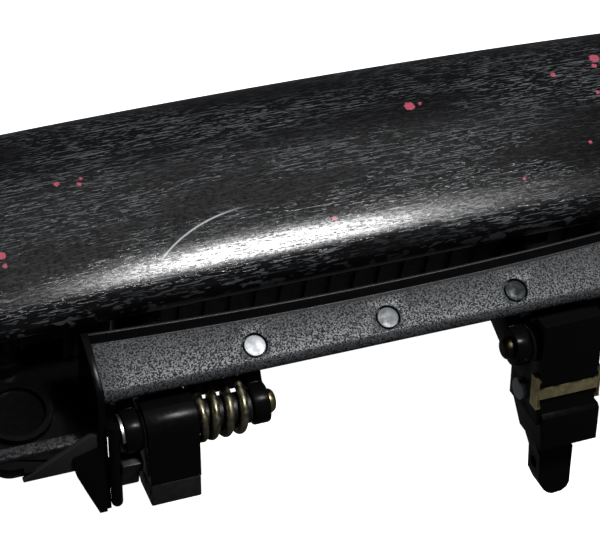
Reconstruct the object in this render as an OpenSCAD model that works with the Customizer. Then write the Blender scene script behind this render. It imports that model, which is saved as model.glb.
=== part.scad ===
// Lift-paddle outside handle: a fixed bezel housing with two hinge pins, a wide
// paddle that swings on them, a counterweight lever, and a release lever with a
// sprung finger that pulls the latch rod.  Units are millimetres.
// +Z points out of the door, +X runs along the hinge pins, -Y is the hinge side.
// The origin is the middle of the two mounting studs, on the door's outer skin.

/* [Paddle] */
// Half of the paddle's length along the hinge pins
paddle_half = 110; // [100:1:120]
// Wall thickness of the paddle's shell
shell_wall = 2.2; // [1.8:0.1:3]
// Radius of the paddle's corners, seen from outside
paddle_corner = 12; // [6:1:16]
// Height of the paddle's crown above its two ends
end_drop = 3; // [0:0.5:5]
// Thickness of the carrier plate inside the paddle
carrier_t = 2; // [1.6:0.2:3]
// Spacing of the ribs on the carrier's near wall
rib_pitch = 6.3; // [5:0.1:8]

/* [Hinge] */
// Height of the hinge pins above the door skin
pin_height = 9; // [8:0.5:12]
// Distance of the hinge pins from the stud line
pin_offset = 14; // [12:0.5:15]
// Radius of the hinge pins
pin_r = 2.9; // [2.5:0.1:3]
// Radial clearance of the pins in their bushes
run_gap = 0.05; // [0.03:0.01:0.1]
// Outer radius of the arm bushes
bush_r = 4; // [3.6:0.1:4.4]
// Lean of the levers towards the hinge side at rest, degrees
lever_lean = 19; // [15:1:22]

/* [Housing] */
// Half of the bezel strip's length
strip_half = 69; // [66:1:72]
// Slope of the bezel strip's face, degrees
strip_slope = 17; // [12:1:20]
// Radius of the bezel strip's rounded near edge
strip_roll = 2.2; // [1.8:0.1:2.4]
// Radius of the bow in the bezel strip's far edge
strip_bow = 1000; // [800:50:2000]
// Spacing of the three plugs in the bezel strip
plug_pitch = 32.6; // [28:0.2:36]
// Radius of each plug
plug_r = 2.6; // [2:0.1:3]
// Thickness of the gasket under each foot
gasket_t = 1; // [0.8:0.1:1.5]
// Distance of each mounting stud from the middle
stud_x = 86; // [84:1:87]
// Radius of the mounting studs
stud_r = 3; // [2.5:0.5:4]
// Length of the mounting studs below the door skin
stud_len = 18; // [12:1:25]

/* [Return spring] */
// Radius of the spring wire
wire_r = 1; // [0.8:0.1:1.1]
// Mean radius of the spring coil
coil_r = 4.95; // [4.8:0.05:5.2]
// Distance between two turns of the spring
coil_pitch = 3.36; // [3:0.02:3.6]

/* [Release] */
// Radius of the cross pin that carries the finger
cross_r = 2.8; // [2.4:0.1:3]
// Distance of the cross pin below the hinge pin
cross_drop = 14.8; // [14:0.2:16]
// Radius of the latch rod's hole in the finger
rod_r = 1.6; // [1.5:0.1:2]

/* [Hidden] */
$fn = 48;
eps = 0.01;
strip_z = 8.2;                    // underside of the strip above the pins
roll_y = 4.44;                    // centre of the strip's rounded near edge
roll_z = strip_z + strip_roll;
face_y = roll_y - strip_roll * sin(strip_slope);
face_z = roll_z + strip_roll * cos(strip_slope);
edge_y = 12;                      // far edge of the strip's face, at the middle
rib_y = 15;                       // near side of the thin rib, at the middle
back_y = 15.8;                    // far side of the housing, at the middle
foot_in = 74;                     // inner end of each foot
foot_out = 95;                    // outer end of each foot
foot_top = -5.5;                  // top of each foot
seat_z = -pin_height;             // the door skin
arm_r = 24.8;                     // radius of the arms' inner curve
block_in = -48.8;                 // counterweight block, inner side
block_out = -60.8;                // counterweight block, outer side
lever_in = 36;                    // release lever, inner side
lever_out = 51.5;                 // release lever, outer side
ear_x = 61.5;                     // outer ears, inner side
sag = 0.4;                        // spring coil below the pins' axis
cross_y = 2;                      // cross pin behind the lever's middle plane
plate_z = 9.5;                    // underside of the carrier plate
screw_r = 1.7;
screw_y = [38.4, 45];             // arm screws, from the pin axis
stop_y = 30;                      // rubber stops, from the pin axis

// Every node of the part, in the order they are drawn.

// Height of the strip's face at a distance y from the pin axis.
function face_at(y) = face_z + (y - face_y) * tan(strip_slope);
// Points on a circle round the pin axis, from angle a0 to a1.
function arc(r, a0, a1, n) =
    [for (i = [0:n]) let (a = a0 + (a1 - a0) * i / n) [r * cos(a), r * sin(a)]];
// A line of points moved sideways by d, to the right of its direction.
function inset(p, d) =
    [for (i = [0:len(p) - 1])
        let (a = p[max(i - 1, 0)], b = p[min(i + 1, len(p) - 1)],
             v = (b - a) / norm(b - a))
        p[i] + d * [v[1], -v[0]]];

// Puts a child drawn round the pin axis into its place on the door.
module seated() { translate([0, -pin_offset, pin_height]) children(); }
// Extrudes a drawing of the Y-Z plane from x0 to x1.
module along_x(x0, x1) {
    translate([x0, 0, 0]) rotate([90, 0, 90]) linear_extrude(x1 - x0) children();
}
// A round bar along X from x0 to x1.
module bar(x0, x1, r) {
    translate([x0, 0, 0]) rotate([0, 90, 0]) cylinder(r = r, h = x1 - x0);
}
// A box with rounded vertical corners, from corner p to corner q.
module pad(p, q, r) {
    translate([p[0] + r, p[1], p[2]]) cube([q[0] - p[0] - 2 * r, q[1] - p[1], q[2] - p[2]]);
    translate([p[0], p[1] + r, p[2]]) cube([q[0] - p[0], q[1] - p[1] - 2 * r, q[2] - p[2]]);
    for (x = [p[0] + r, q[0] - r], y = [p[1] + r, q[1] - r])
        translate([x, y, p[2]]) cylinder(r = r, h = q[2] - p[2]);
}
// Both hands of a child drawn on the +X side.
module both() { children(); mirror([1, 0, 0]) children(); }
// Turns a child drawn straight down from the pin axis to the levers' rest lean.
module leaned() { rotate([-lever_lean, 0, 0]) children(); }
// A round rod that follows a path of points.
module rod(path, r, n) {
    m = len(path);
    function way(i) = let (v = path[min(i + 1, m - 1)] - path[max(i - 1, 0)]) v / norm(v);
    pts = [for (i = [0:m - 1])
        let (t = way(i), s = cross(t, [0.08, 0.12, 1]) / norm(cross(t, [0.08, 0.12, 1])),
             w = cross(s, t))
        for (j = [0:n - 1]) path[i] + r * (cos(360 * j / n) * s + sin(360 * j / n) * w)];
    sides = [for (i = [0:m - 2], j = [0:n - 1])
        let (a = i * n + j, b = i * n + (j + 1) % n) each [[a, b, b + n], [a, b + n, a + n]]];
    polyhedron(pts, concat(sides, [[for (j = [n - 1:-1:0]) j]],
        [[for (j = [0:n - 1]) (m - 1) * n + j]]), convexity = 8);
}

// ---- fixed housing ----

// The plan of a strip whose far edge is bowed, from the near side to y.
module bowed(half, y, z0, z1) {
    difference() {
        translate([-half, -30, z0]) cube([2 * half, 90, z1 - z0]);
        translate([0, y + strip_bow, z0 - 1])
            cylinder(r = strip_bow, h = z1 - z0 + 2, $fn = 720);
    }
}
// The holes of the three plugs, square to the strip's face.
module plug_seats(r, deep, high) {
    y = 6.8;
    for (x = [-plug_pitch, 0, plug_pitch])
        translate([x, y, face_at(y)]) rotate([strip_slope, 0, 0])
            translate([0, 0, -deep]) cylinder(r = r, h = deep + high);
}
// The grained strip with its rounded near edge.
module strip() {
    difference() {
        intersection() {
            along_x(-strip_half, strip_half) {
                polygon([[roll_y, strip_z], [30, strip_z], [30, face_at(30)],
                    [face_y, face_z], [roll_y - 1, roll_z]]);
                translate([roll_y, roll_z]) circle(r = strip_roll);
            }
            bowed(strip_half, edge_y, 0, 30);
        }
        plug_seats(2.9, 1.2, 2);
        plug_seats(1.8, 9, 1);
    }
}
// Everything behind the strip's face: groove floor and thin rib.
module strip_back() {
    intersection() {
        along_x(-strip_half, strip_half)
            polygon([[edge_y - 1, strip_z], [30, strip_z], [30, 15.2],
                [rib_y - 2, 15.2], [edge_y - 1, 12]]);
        difference() {
            bowed(strip_half, back_y, 0, 30);
            difference() {
                bowed(strip_half + 1, rib_y, 11.8, 30);
                bowed(strip_half + 2, edge_y - 0.3, 11, 31);
            }
        }
    }
}
// The plate that closes each end of the strip, with its rib and point.
module end_plate() {
    along_x(strip_half, strip_half + 1.6)
        polygon([[2.3, 9.6], [2.6, 11.4], [4, 12.8], [13.5, 15.6], [18, 15.6],
            [19, 6], [17, -7.8], [3, -12], [-5.4, -20.4], [-7.4, -19], [-1.2, 0]]);
    translate([strip_half - 1.3, -1.6, 2]) rotate([-16.5, 0, 0])
        translate([0, 0, -21]) cylinder(r = 1.4, h = 24);
    rotate([-lever_lean, 0, 0]) translate([0, 1.2, 0]) rotate([90, 0, 0])
        linear_extrude(2.2) polygon([[strip_half + 1, -2], [77, -4], [76.5, -9],
            [74.6, -14], [71.8, -21], [strip_half + 1, -21]]);
    // wall behind the outer ear
    translate([ear_x, 4.7, -8]) cube([strip_half + 0.4 - ear_x, 2, 17]);
}
// An ear that holds a hinge pin, from x0 to x1.
module ear(x0, x1, r) {
    bar(x0, x1, r);
    along_x(x0, x1) polygon([[3.2, r - 1.6], [8.6, strip_z + 1], [14.5, strip_z + 1],
        [14, -3], [2, -r]]);
}
// The hidden head of a mounting stud, moulded into the foot.
module stud_head() {
    translate([stud_x, pin_offset, seat_z - 0.01]) cylinder(r = stud_r - 0.3, h = 3);
    translate([stud_x, pin_offset, foot_top - 2]) cylinder(r = 5, h = 1.4);
}
// A foot that stands on the door skin beyond the end of the strip.
module foot() {
    difference() {
        union() {
            pad([foot_in, 0, seat_z + gasket_t], [foot_out, 36, foot_top], 5);
            translate([strip_half + 0.8, 0, seat_z + gasket_t])
                cube([12, 18, foot_top - seat_z - gasket_t]);
            translate([ear_x, 4.7, seat_z + gasket_t])
                cube([foot_in + 11.5 - ear_x, 31.3, foot_top - seat_z - gasket_t]);
            translate([stud_x, pin_offset, foot_top - 1]) cylinder(r = 8.2, h = 3);
            translate([stud_x, stop_y, foot_top - 1]) cylinder(r = 5.5, h = 5.5);
            // sloped front wall and raised band behind it
            leaned() translate([0, 1.2, 0]) rotate([90, 0, 0]) linear_extrude(1.4)
                polygon([[strip_half + 1, 1.2], [73, 0.8], [88.6, -7.2], [88.6, -7.9],
                    [strip_half + 1, -7.9]]);
            translate([strip_half + 1, -1.6, seat_z + gasket_t])
                cube([18, 2.6, foot_top - seat_z - gasket_t]);
            translate([strip_half + 1, 2.4, foot_top - 1]) cube([23, 3, 2.2]);
        }
        translate([stud_x, pin_offset, foot_top + 0.6]) cylinder(r = 6.6, h = 5);
        stud_head();
    }
}
module base_housing() seated() color([0.05, 0.05, 0.055]) difference() {
    union() {
        strip();
        strip_back();
        translate([-29, 11.5, -2]) cube([58, 2, strip_z + 2.5]);
        // walls behind the spring and behind the spacer
        translate([-48.2, 6.6, -2]) cube([14, 2, strip_z + 2.4]);
        translate([52.4, 6.6, -2]) cube([ear_x - 52.2, 2, strip_z + 2.4]);
        both() {
            end_plate();
            ear(31, 35, 4.8);
            ear(ear_x, 65.5, 5);
            translate([ear_x, -6, -8.5]) cube([5.1, 7, 3.6]);
            translate([61.6, -4.2, -16]) cube([strip_half - 61, 2, 11]);
            foot();
        }
    }
    both() bar(28, 67.4, pin_r);
    // passage of the spring's upper leg
    translate([-38.6, 6, 3.6]) cube([3, 7.6, 4.5]);
    // channel of the reinforcement bar
    translate([-60, 5.6, strip_z - 0.8]) cube([120, 4.8, 2.4]);
    translate([0, 0, strip_z - 6]) plug_seats(1.8, 0.5, 0);
    both() translate([stud_x, stop_y, foot_top + 3.5]) cylinder(r = 4, h = 5);
}
module reinforcement_bar() seated() color([0.55, 0.56, 0.58]) difference() {
    translate([-59.6, 5.8, strip_z - 0.6]) cube([119.2, 4.4, 2]);
    plug_seats(1.8, 9, 1);
}
module strip_plugs() seated() color([0.75, 0.76, 0.78]) {
    plug_seats(plug_r, 1.2, 0.1 - eps);
    plug_seats(1.75, 6.4, -1);
}
// A hinge pin on the +X side, with its domed inner end.
module hinge_pin() {
    bar(30, 66.3, pin_r);
    intersection() {
        bar(28.8, 31, pin_r);
        translate([32.6, 0, 0]) sphere(r = 3.9);
    }
}
module left_hinge_pin() seated() color([0.45, 0.4, 0.24]) mirror([1, 0, 0]) hinge_pin();
module right_hinge_pin() seated() color([0.45, 0.4, 0.24]) hinge_pin();
module pin_clips() seated() color([0.6, 0.6, 0.62]) both() difference() {
    bar(65.5, 66.1, 4.4);
    bar(65, 67, pin_r);
    translate([65, -6, -1.8]) cube([2, 6, 3.6]);
}
module pin_spacer() seated() color([0.3, 0.3, 0.31]) difference() {
    bar(52.2, ear_x, 4.2);
    bar(52, ear_x + 1, pin_r);
}
module spring_sleeve() seated() color([0.04, 0.04, 0.045]) difference() {
    translate([0, 0, -sag]) bar(-48.3, -35.1, coil_r - wire_r - 0.06);
    bar(-49, -35, pin_r);
}
module base_gaskets() seated() color([0.03, 0.03, 0.03]) both() difference() {
    pad([foot_in, 0, seat_z], [foot_out, 36, seat_z + gasket_t], 5);
    translate([stud_x, pin_offset, seat_z - 1]) cylinder(r = stud_r + 0.4, h = 4);
}
module mounting_studs() seated() color([0.6, 0.6, 0.62]) both() {
    stud_head();
    translate([stud_x, pin_offset, seat_z - stud_len]) {
        translate([0, 0, 0.8]) cylinder(r = stud_r, h = stud_len - 1);
        cylinder(r1 = stud_r - 0.8, r2 = stud_r, h = 0.8);
        cylinder(r = stud_r - 0.3, h = stud_len + 0.1);
    }
}
module bump_stops() seated() color([0.02, 0.02, 0.02]) both()
    translate([stud_x, stop_y, foot_top + 3.5]) {
        cylinder(r = 3.95, h = 2);
        translate([0, 0, 2]) cylinder(r1 = 3.95, r2 = 3, h = 3.6);
    }
// Coil from the leg under the strip to the leg in the counterweight block.
module return_spring() seated() color([0.42, 0.38, 0.25]) {
    steps = 88;
    turn = 1204.9;
    coil = [for (i = [0:steps]) let (a = 90 + turn * i / steps)
        [-37.1 - coil_pitch * 3 * min(1, turn * i / steps / 1080),
         coil_r * cos(a), coil_r * sin(a) - sag]];
    rod(concat([[-37.1, 12.6, 6.6], [-37.1, 3, 4.6]], coil,
        [[-47.2, -1.2, -7.8], [-47.3, -0.2, -9.1], [-47.8, 0, -9.5], [-51.5, 0, -9.5]]),
        wire_r, 12);
}

// ---- paddle ----

// Cross-section of the paddle's outer skin, from the near lip to the far lip.
skin = [[23, 10.8], [22.8, 12.5], [22.9, 14.2], [23.3, 16], [24.1, 17.8], [25.3, 19.3],
    [26.8, 20.4], [28.4, 21.1], [31, 22], [34.5, 22.9], [39, 23.8], [44, 24.5], [50, 25],
    [56, 25.1], [62, 24.9], [67, 24.4], [71.5, 23.5], [75, 22.3], [77.7, 20.6],
    [79.4, 18.6], [80.3, 16.4], [80.6, 14], [80.3, 10.8]];
// The solid between a skin line and a level below it.
module skin_block(p, half) {
    along_x(-half, half) polygon(concat(p, [[p[len(p) - 1][0], -2], [p[0][0], -2]]));
}
// Plan and crown limits of the paddle, drawn in by d.
module paddle_limits(d) {
    h = paddle_half - d;
    r = paddle_corner - d;
    intersection() {
        pad([-h, 21 + d, -5], [h, 82 - d, 40], r);
        translate([0, 80.7 - d - 3400, -5]) cylinder(r = 3400, h = 45, $fn = 900);
        rotate([90, 0, 0]) translate([0, 0, -90]) linear_extrude(90)
            polygon(concat([[-h, -2]],
                [for (i = [0:32]) let (x = h * (i / 16 - 1), e = abs(i / 16 - 1))
                    [x, 25.2 - d - end_drop * e * e - 3.4 * pow(e, 14)]],
                [[h, -2]]));
    }
}
boss_at = [[-88, 44], [-30, 44], [30, 44], [88, 44], [-70, 56], [0, 56], [70, 56]];
module paddle_shell() seated() color([0.06, 0.06, 0.065]) {
    difference() {
        intersection() { skin_block(skin, 120); paddle_limits(0); }
        intersection() {
            skin_block(inset(skin, shell_wall), 120);
            paddle_limits(shell_wall);
        }
        translate([-120, 0, -10]) cube([240, 100, 20.8]);
    }
    difference() {
        intersection() {
            for (b = boss_at)
                translate([b[0], b[1], plate_z + carrier_t]) cylinder(r = 3.2, h = 30);
            skin_block(inset(skin, 0.6), 120);
            paddle_limits(0.6);
        }
        for (b = boss_at)
            translate([b[0], b[1], plate_z]) cylinder(r = screw_r, h = 10);
    }
}
module paddle_carrier() seated() color([0.07, 0.07, 0.075]) difference() {
    union() {
        pad([-100, 26.2, plate_z], [100, 62, plate_z + carrier_t], 4);
        translate([-100, 26.2, 4]) cube([200, 2, plate_z - 4 + eps]);
        translate([-72, 26.2, -4]) cube([144, 2, 9]);
        translate([-100, 60, 7]) cube([200, 2, plate_z - 7 + eps]);
        for (i = [-15:15])
            translate([i * rib_pitch - 0.5, 25.2, abs(i) < 12 ? -3 : 4])
                cube([1, 1.2, abs(i) < 12 ? 14 : 7]);
        for (i = [-4:4])
            translate([i * 22 - 0.8, 28, 6.5]) cube([1.6, 33, 3.2]);
        for (x = [-98, 96.4])
            translate([x, 28, 4]) cube([1.6, 33, 5.6]);
        translate([-99, 43.2, 6.5]) cube([198, 1.6, 3.2]);
        both() translate([stud_x, stop_y, 4]) cylinder(r = 4.6, h = 6);
    }
    // windows and screw holes of the two arms
    translate([block_out - 0.2, 20, -6]) cube([block_in - block_out + 0.4, 29, plate_z + 6]);
    translate([lever_in + 1.8, 20, -6]) cube([12.4, 29, plate_z + 6]);
    for (x = [-54.15, 44], y = screw_y)
        translate([x, y, 5]) cylinder(r = screw_r, h = 20);
    for (b = boss_at) translate([b[0], b[1], 4]) {
        cylinder(r = screw_r + 0.15, h = 20);
        cylinder(r = 3.6, h = plate_z - 4);
    }
}
module carrier_screws() seated() color([0.5, 0.5, 0.52])
    for (b = boss_at) translate([b[0], b[1], plate_z]) {
        translate([0, 0, -2.2]) difference() {
            cylinder(r = 3.1, h = 2.2);
            translate([0, 0, -1]) cylinder(r = 1.4, h = 2.2, $fn = 6);
        }
        translate([0, 0, -0.5]) cylinder(r = screw_r - 0.05, h = 8.5);
    }
module grip_pad() seated() color([0.03, 0.03, 0.03]) difference() {
    pad([-46, 74.6, 11.4], [46, 76.2, 18], 0.7);
    for (i = [-7:7]) translate([i * 6 - 0.6, 74, 10]) cube([1.2, 1, 12]);
}

// ---- levers on the paddle ----

// The neck that passes under the strip and rises outside its corner.
module neck() {
    polygon(concat([[2, 5.6], [6.4, 4.6], [9.4, 2.6], [12.4, 0.2], [15.6, -2.6],
        [18.6, -4.9], [22.4, -5.9]], arc(arm_r, -13.2, 14, 8), [[24.2, plate_z - 3.6],
        [24.2, plate_z], [48, plate_z], [48, plate_z - 4], [35, plate_z - 4]],
        arc(33.2, 7, -14, 6), [[30.2, -11.2], [26, -13.2], [18, -12.4], [10, -9.2],
        [2, -6.4]]));
}
module arm_holes(x) {
    for (y = screw_y) translate([x, y, 0]) cylinder(r = screw_r + 0.15, h = 20);
}
module counterweight_arm() seated() color([0.05, 0.05, 0.055]) difference() {
    union() {
        leaned() {
            along_x(block_out, block_in)
                polygon(concat(arc(6.8, 5, 158, 10), [[-6.3, -12], [6.3, -12]]));
            bar(block_out, block_in, 6.8);
        }
        along_x(block_out + 1, block_in - 0.8) neck();
    }
    bar(block_out - 1, block_in + 1, bush_r);
    arm_holes(-54.15);
    translate([0, 0, -9.5]) bar(-52, block_in + 1, wire_r + 0.2);
    leaned() translate([-54.5, 0, -16]) cylinder(r = 3.2, h = 9);
}
module counterweight_slug() seated() color([0.3, 0.3, 0.31]) leaned() {
    intersection() {
        translate([block_out, -6.3, -18.4]) cube([block_in - block_out, 12.6, 6.4]);
        translate([0, -1.6, -10.5]) bar(-70, -40, 9.3);
    }
    translate([-54.5, 0, -13]) cylinder(r = 3.2, h = 6);
}
module release_arm() seated() color([0.05, 0.05, 0.055]) difference() {
    union() {
        leaned() {
            along_x(lever_in, lever_out)
                polygon([[-7.6, 9.6], [-3.6, 9.6], [-1.2, 6.8], [3, 6.2], [6.9, 2],
                    [7.6, -6], [8, -11], [8, -20], [-6.9, -20], [-6.9, -8.2],
                    [-7.6, -8]]);
            // lower box, set a little outwards
            along_x(lever_in + 1.2, lever_out + 1)
                polygon([[-7.2, -17], [8, -17], [8, -22], [3.6, -27.4], [-8, -27.4],
                    [-8, -17.9]]);
            bar(lever_in, lever_out, 6.9);
        }
        along_x(lever_in + 2, lever_out - 1.5) neck();
    }
    bar(lever_in - 1, lever_out + 1, bush_r);
    arm_holes(44);
    leaned() {
        translate([38.2, -4, -31]) cube([10.5, 14, 21.4]);
        translate([0, cross_y, -cross_drop]) bar(lever_in - 1, lever_out + 1, cross_r);
        translate([30, 3, -32]) rotate([35, 0, 0]) cube([30, 12, 10]);
    }
}
module arm_screws() seated() color([0.5, 0.5, 0.52])
    for (x = [-54.15, 44], y = screw_y) translate([x, y, plate_z - 4]) {
        translate([0, 0, -2.4]) difference() {
            cylinder(r = 3.2, h = 2.4);
            translate([0, 0, -1]) cylinder(r = 1.5, h = 2.4, $fn = 6);
        }
        translate([0, 0, -0.5]) cylinder(r = screw_r - 0.05, h = 7.5);
    }
// A plain bush from x0 to x1 with a thin flange at each side that is named.
module bush(x0, x1, f0, f1) difference() {
    union() {
        bar(x0, x1, bush_r);
        if (f0 > 0) bar(x0 - f0, x0, 4.5);
        if (f1 > 0) bar(x1, x1 + f1, 4.5);
    }
    bar(x0 - 1, x1 + 1, pin_r + run_gap);
}
module left_bush() seated() color([0.5, 0.5, 0.48]) bush(block_out, block_in, 0.3, 0);
module right_bush() seated() color([0.5, 0.5, 0.48]) bush(lever_in, lever_out, 0.5, 0.35);
module cross_pin() seated() color([0.35, 0.35, 0.36]) leaned()
    translate([0, cross_y, -cross_drop]) {
        bar(35, 52.2, cross_r - 0.001);
        bar(34.7, 35.1, cross_r - 0.3);
    }
// Strap across the lever's front with a tab with curled ends on each side.
module strap_clip() seated() color([0.62, 0.5, 0.22]) leaned() {
    translate([lever_in - 0.8, -7.6, -11.8]) cube([lever_out - lever_in + 1.6, 0.7, 3]);
    for (side = [0, 1]) {
        x = side ? lever_out + 0.1 : lever_in - 0.8;
        translate([x, -7.6, -14.4]) cube([0.7, 3.4, 8.4]);
        for (z = [-14.4, -6]) translate([x + 0.7 * side, -7.6, z])
            rotate([-90, 0, 0]) cylinder(r = 0.65, h = 3.4);
    }
}

// ---- release finger ----

module release_finger() seated() color([0.06, 0.06, 0.065]) leaned() difference() {
    union() {
        translate([0, cross_y, -cross_drop]) bar(38.5, 44.8, 4.7);
        translate([38.5, -2.6, -24]) cube([6.3, 6.2, 9.2]);
        translate([0, 3.6, 0]) rotate([90, 0, 0]) linear_extrude(6.2)
            polygon([[38.5, -19.8], [48.2, -19.8], [48.2, -30.6], [49.3, -33],
                [49.3, -44.6], [47.6, -47], [44.6, -47.4], [42.2, -45.6],
                [40.4, -41.6], [40.2, -34.5], [38.5, -29]]);
    }
    translate([0, cross_y, -cross_drop]) bar(38, 45, 3.8);
    translate([0, 0.5, -38]) bar(37, 51, rod_r);
}
module finger_bush() seated() color([0.5, 0.5, 0.48]) leaned()
    translate([0, cross_y, -cross_drop]) difference() {
        bar(38.5, 44.8, 3.8);
        bar(38, 45.3, cross_r + run_gap);
    }
module finger_spring() seated() color([0.55, 0.55, 0.52]) leaned()
    translate([0, cross_y, -cross_drop]) {
        coil = [for (i = [0:54]) let (a = 180 + 17 * i)
            [45.6 + 0.75 * min(2.7, i * 17 / 360), 3.6 * cos(a), 3.6 * sin(a)]];
        rod(concat([[45.6, -4.4, 3.4]], coil, [[47.6, 3.4, -4.6]]), 0.36, 12);
    }

base_housing();
reinforcement_bar();
strip_plugs();
left_hinge_pin();
right_hinge_pin();
pin_clips();
pin_spacer();
spring_sleeve();
base_gaskets();
mounting_studs();
bump_stops();
return_spring();
paddle_shell();
paddle_carrier();
carrier_screws();
grip_pad();
counterweight_arm();
counterweight_slug();
release_arm();
arm_screws();
left_bush();
right_bush();
cross_pin();
strap_clip();
release_finger();
finger_bush();
finger_spring();
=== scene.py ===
"""Lift-paddle handle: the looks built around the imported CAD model.

Lengths in the size classes are millimetres, measured round the hinge pins' axis:
x along the pins, y away from the hinge side and z out of the door.  Each finished
piece is moved from there into the CAD model's frame, in metres.
"""

import logging
import math
from contextlib import contextmanager
from dataclasses import dataclass
from enum import Enum
from typing import Callable, Iterable, Iterator, List, Optional, Sequence, Tuple

import bmesh
import bpy
from mathutils import Matrix, Vector

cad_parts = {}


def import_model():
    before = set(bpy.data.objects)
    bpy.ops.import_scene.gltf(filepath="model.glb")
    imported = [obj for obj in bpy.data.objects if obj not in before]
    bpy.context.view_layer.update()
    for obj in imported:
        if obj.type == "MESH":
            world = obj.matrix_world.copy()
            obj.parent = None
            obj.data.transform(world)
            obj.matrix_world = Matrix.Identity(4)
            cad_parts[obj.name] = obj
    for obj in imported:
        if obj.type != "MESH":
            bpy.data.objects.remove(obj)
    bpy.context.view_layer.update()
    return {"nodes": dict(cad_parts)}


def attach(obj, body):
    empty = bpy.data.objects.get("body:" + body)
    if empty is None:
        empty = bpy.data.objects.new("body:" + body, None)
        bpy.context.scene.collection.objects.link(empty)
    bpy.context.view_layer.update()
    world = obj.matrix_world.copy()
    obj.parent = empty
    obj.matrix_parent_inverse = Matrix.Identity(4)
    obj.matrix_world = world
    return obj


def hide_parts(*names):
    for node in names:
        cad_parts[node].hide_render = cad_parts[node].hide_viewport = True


LOG = logging.getLogger("handle")
MM = 0.001
PIN_AXIS = Vector((0.0, -14.0, 9.0))
LEVER_LEAN = math.radians(19.0)
PLUG_PLACES = (-1, 0, 1)
# Closeness to a limit that counts as on it, and distance of vertices that merge, in mm.
NEAR = 0.1
MERGE = 0.002
# Least bend of the wire, in radians, that is worth a turn.
LEAST_BEND = 1e-5

Point2 = Tuple[float, float]
Point3 = Tuple[float, float, float]
Span = Tuple[float, float]
Bar = Tuple[float, float, float]
Box = Tuple[Point3, Point3]
Post = Tuple[float, float, float, float, int]
Colour = Tuple[float, float, float]
Test = Callable[[Vector], bool]


class Body(Enum):
    """The CAD bodies that pieces ride on."""

    BASE = "base"
    PADDLE = "paddle"
    FINGER = "finger"


class Plane(Enum):
    """The plane that an outline is drawn in before it is extruded."""

    YZ = "yz"
    XZ = "xz"


class Slot(Enum):
    """The record's material slots."""

    HOUSING = "housing"
    SHELL = "shell"
    LEVER = "lever"
    PLUG = "plug"
    PIN = "pin"
    SPRING = "spring"
    STEEL = "steel"
    SLUG = "slug"
    CLIP = "clip"


# ---- materials


@dataclass(frozen=True)
class Finish:
    """A surface: its colour, how it shines and how it is textured.

    Attributes:
        name: the material's name.
        base: linear base colour.
        rough: mean roughness.
        metal: metallic share, 0 or 1.
        mottle: strength of slow changes of the roughness and the colour.
        grain: height of the fine bumps in millimetres, 0 for none.
        grain_scale: bumps per metre.
        specular: strength of the dielectric reflection.
        second: a second colour that patches of the surface take, or None.
        speckled: true if the second colour follows the grain, not the patches.
    """

    name: str
    base: Colour
    rough: float
    metal: float = 0.0
    mottle: float = 0.15
    grain: float = 0.0
    grain_scale: float = 900.0
    specular: float = 0.5
    second: Optional[Colour] = None
    speckled: bool = False


class NodeSheet:
    """A material's node tree with short calls for the nodes used here."""

    def __init__(self, finish: Finish) -> None:
        """Makes the material with a Principled shader and object coordinates."""
        self.material = bpy.data.materials.new(finish.name)
        self.material.use_nodes = True
        self.tree = self.material.node_tree
        self.shader = self.tree.nodes["Principled BSDF"]
        self.finish = finish
        self.coords = self.tree.nodes.new("ShaderNodeTexCoord").outputs["Object"]
        self.shader.inputs["Metallic"].default_value = finish.metal
        self.shader.inputs["Specular IOR Level"].default_value = finish.specular

    def put(self, value, socket) -> None:
        """Gives a socket a value, or joins it to an output."""
        if isinstance(value, bpy.types.NodeSocket):
            self.tree.links.new(value, socket)
        else:
            socket.default_value = value

    def node(self, kind: str, **inputs) -> bpy.types.Node:
        """A new shader node with its named inputs given, as From_Min for From Min."""
        node = self.tree.nodes.new(f"ShaderNode{kind}")
        for name, value in inputs.items():
            self.put(value, node.inputs[name.replace("_", " ")])
        return node

    def stretched(self, scale: Tuple[float, float, float], turn: float = 0.0):
        """Object coordinates turned about z by degrees and scaled on each axis."""
        spin = (0, 0, math.radians(turn))
        return self.node("Mapping", Vector=self.coords, Scale=scale, Rotation=spin).outputs["Vector"]

    def noise(self, vector, scale: float, detail: float = 3.0, rough: float = 0.5):
        """The height output of a noise texture."""
        node = self.node("TexNoise", Vector=vector, Scale=scale, Detail=detail, Roughness=rough)
        return node.outputs["Fac"]

    def math(self, kind: str, first, second=0.0, clamp: bool = False):
        """The result of a math node on two outputs or numbers."""
        node = self.node("Math")
        node.operation = kind
        node.use_clamp = clamp
        self.put(first, node.inputs[0])
        self.put(second, node.inputs[1])
        return node.outputs[0]

    def ramp(self, value, low: float, high: float, to_low: float = 0.0, to_high: float = 1.0):
        """A smooth step of value from low to high, as a number from to_low to to_high."""
        node = self.node("MapRange", Value=value, From_Min=low, From_Max=high, To_Min=to_low, To_Max=to_high)
        node.interpolation_type = "SMOOTHSTEP"
        return node.outputs["Result"]

    def blend(self, share, first, second):
        """A colour between two colours or outputs, by share."""
        node = self.node("Mix", Factor=share)
        node.data_type = "RGBA"
        for value, index in ((first, 6), (second, 7)):
            self.put((*value, 1.0) if isinstance(value, tuple) else value, node.inputs[index])
        return node.outputs[2]

    def distance(self, point: Vector):
        """Distance in metres from a point of the object's frame."""
        node = self.node("VectorMath")
        node.operation = "DISTANCE"
        self.put(self.coords, node.inputs[0])
        self.put(point, node.inputs[1])
        return node.outputs["Value"]

    def bump(self, height, depth: float, strength: float = 1.0) -> None:
        """Adds a bump of the given depth in metres under any that is there."""
        node = self.node("Bump", Height=height, Distance=depth, Strength=strength)
        held = self.shader.inputs["Normal"]
        if held.is_linked:
            self.put(held.links[0].from_socket, node.inputs["Normal"])
        self.put(node.outputs["Normal"], held)

    def colour(self, output) -> None:
        """Sets the base colour."""
        self.put(output, self.shader.inputs["Base Color"])

    def roughness(self, output) -> None:
        """Sets the roughness."""
        self.put(output, self.shader.inputs["Roughness"])


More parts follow.
